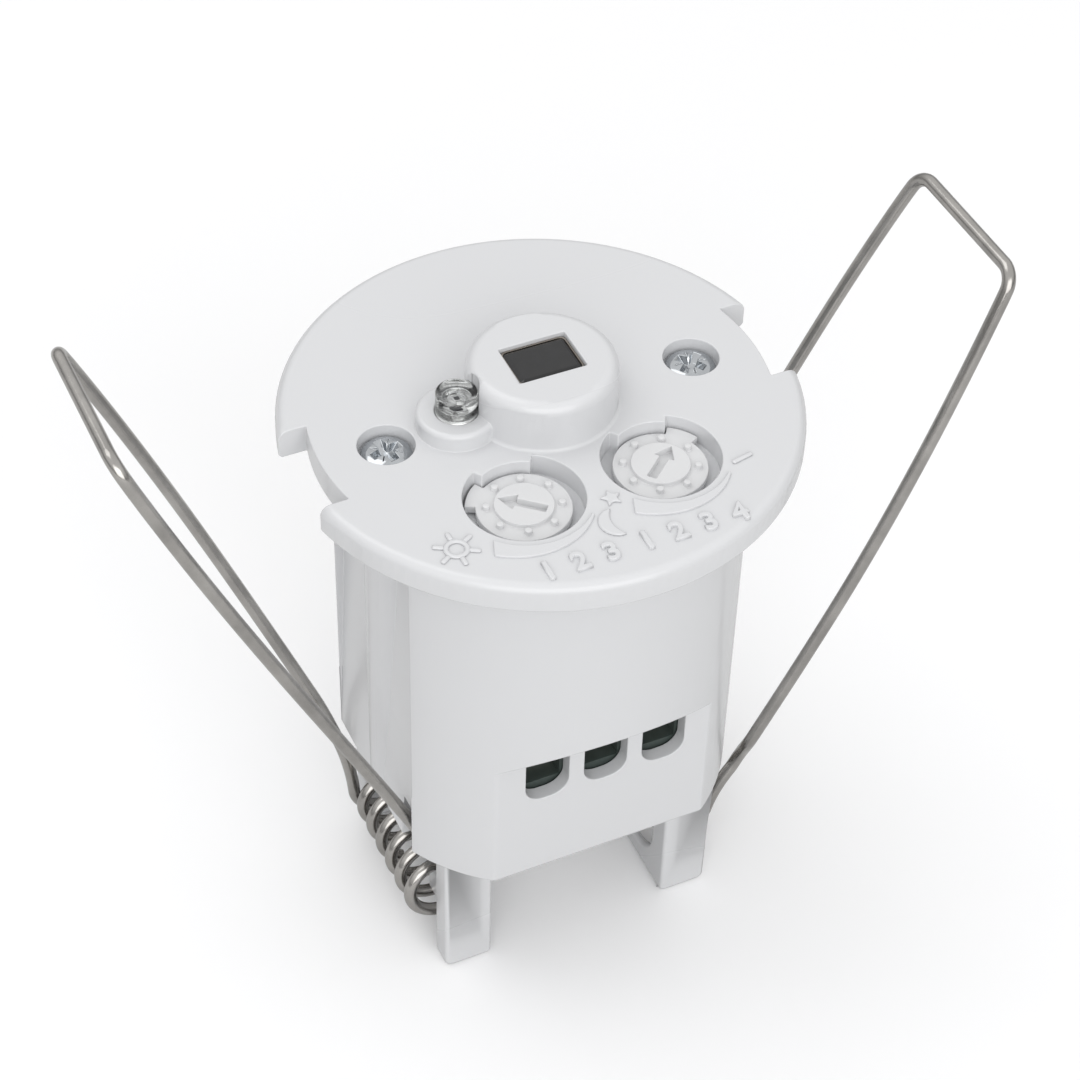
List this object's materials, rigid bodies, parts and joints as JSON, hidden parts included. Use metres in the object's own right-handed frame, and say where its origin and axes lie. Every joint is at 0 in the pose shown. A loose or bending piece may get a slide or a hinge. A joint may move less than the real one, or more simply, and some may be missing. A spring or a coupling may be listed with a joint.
{
  "type": "pir motion sensor",
  "caption": "Flush ceiling motion sensor: round faceplate with sensing window, light sensor and setting dials, a cup housing with wire entries, and sprung wire bails.",
  "frame": {"origin": "on the faceplate's axis, in the plane of the undersides of the feet", "axes": "+Z from the feet up through the faceplate, X through the springs with the light sensor at -X, -Y towards the wire entries and dials"},
  "size_m": [0.1034, 0.06, 0.0915],
  "materials": {
    "white_plastic": "satin moulded",
    "dial_plastic": "satin moulded",
    "can_metal": "dull nickel",
    "dark_filter": "polished dark filter",
    "clear_resin": "clear resin",
    "black_plastic": "satin",
    "blue_plastic": "satin",
    "zinc_steel": "bright zinc plate",
    "board_green": "solder mask",
    "terminal_green": "satin moulded",
    "clamp_metal": "nickel on brass",
    "capacitor_sleeve": "shrink sleeve",
    "film_yellow": "moulded box",
    "spring_steel": "bright drawn wire"
  },
  "bodies": {
    "root": {"faceplate": "white_plastic", "housing": "white_plastic", "pir_sensor": "can_metal", "filter_window": "dark_filter", "sensor_spacer": "black_plastic", "light_sensor": "clear_resin", "lux_potentiometer": "blue_plastic", "time_potentiometer": "blue_plastic", "face_screws": "zinc_steel", "control_board": "board_green", "power_board": "board_green", "terminal_block": "terminal_green", "left_clamp": "clamp_metal", "middle_clamp": "clamp_metal", "right_clamp": "clamp_metal", "terminal_screws": "zinc_steel", "relay": "black_plastic", "smoothing_capacitor": "capacitor_sleeve", "dropper_capacitor": "film_yellow", "varistor": "blue_plastic", "rectifier": "black_plastic", "board_header": "black_plastic", "controller_chip": "black_plastic"},
    "lux_dial": {"lux_dial": "dial_plastic"},
    "time_dial": {"time_dial": "dial_plastic"},
    "left_spring": {"left_spring": "spring_steel"},
    "right_spring": {"right_spring": "spring_steel"}
  },
  "joints": [
    {"name": "lux_dial_turn", "type": "hinge", "parent": "root", "child": "lux_dial", "pos_m": [-0.0083, -0.0137, 0.0757], "axis": [0, 0, 1], "range_deg": [0, 261]},
    {"name": "time_dial_turn", "type": "hinge", "parent": "root", "child": "time_dial", "pos_m": [0.0083, -0.0137, 0.0757], "axis": [0, 0, 1], "range_deg": [-261, 0]},
    {"name": "right_spring_swing", "type": "hinge", "parent": "root", "child": "right_spring", "pos_m": [0.017, 0, 0.0084], "axis": [0, 1, 0], "range_deg": [0, 150], "stiffness_Nm_per_rad": 0.1, "springref_deg": -20.05},
    {"name": "left_spring_swing", "type": "hinge", "parent": "root", "child": "left_spring", "pos_m": [-0.017, 0, 0.0084], "axis": [0, -1, 0], "range_deg": [0, 150], "stiffness_Nm_per_rad": 0.1, "springref_deg": -20.05}
  ]
}
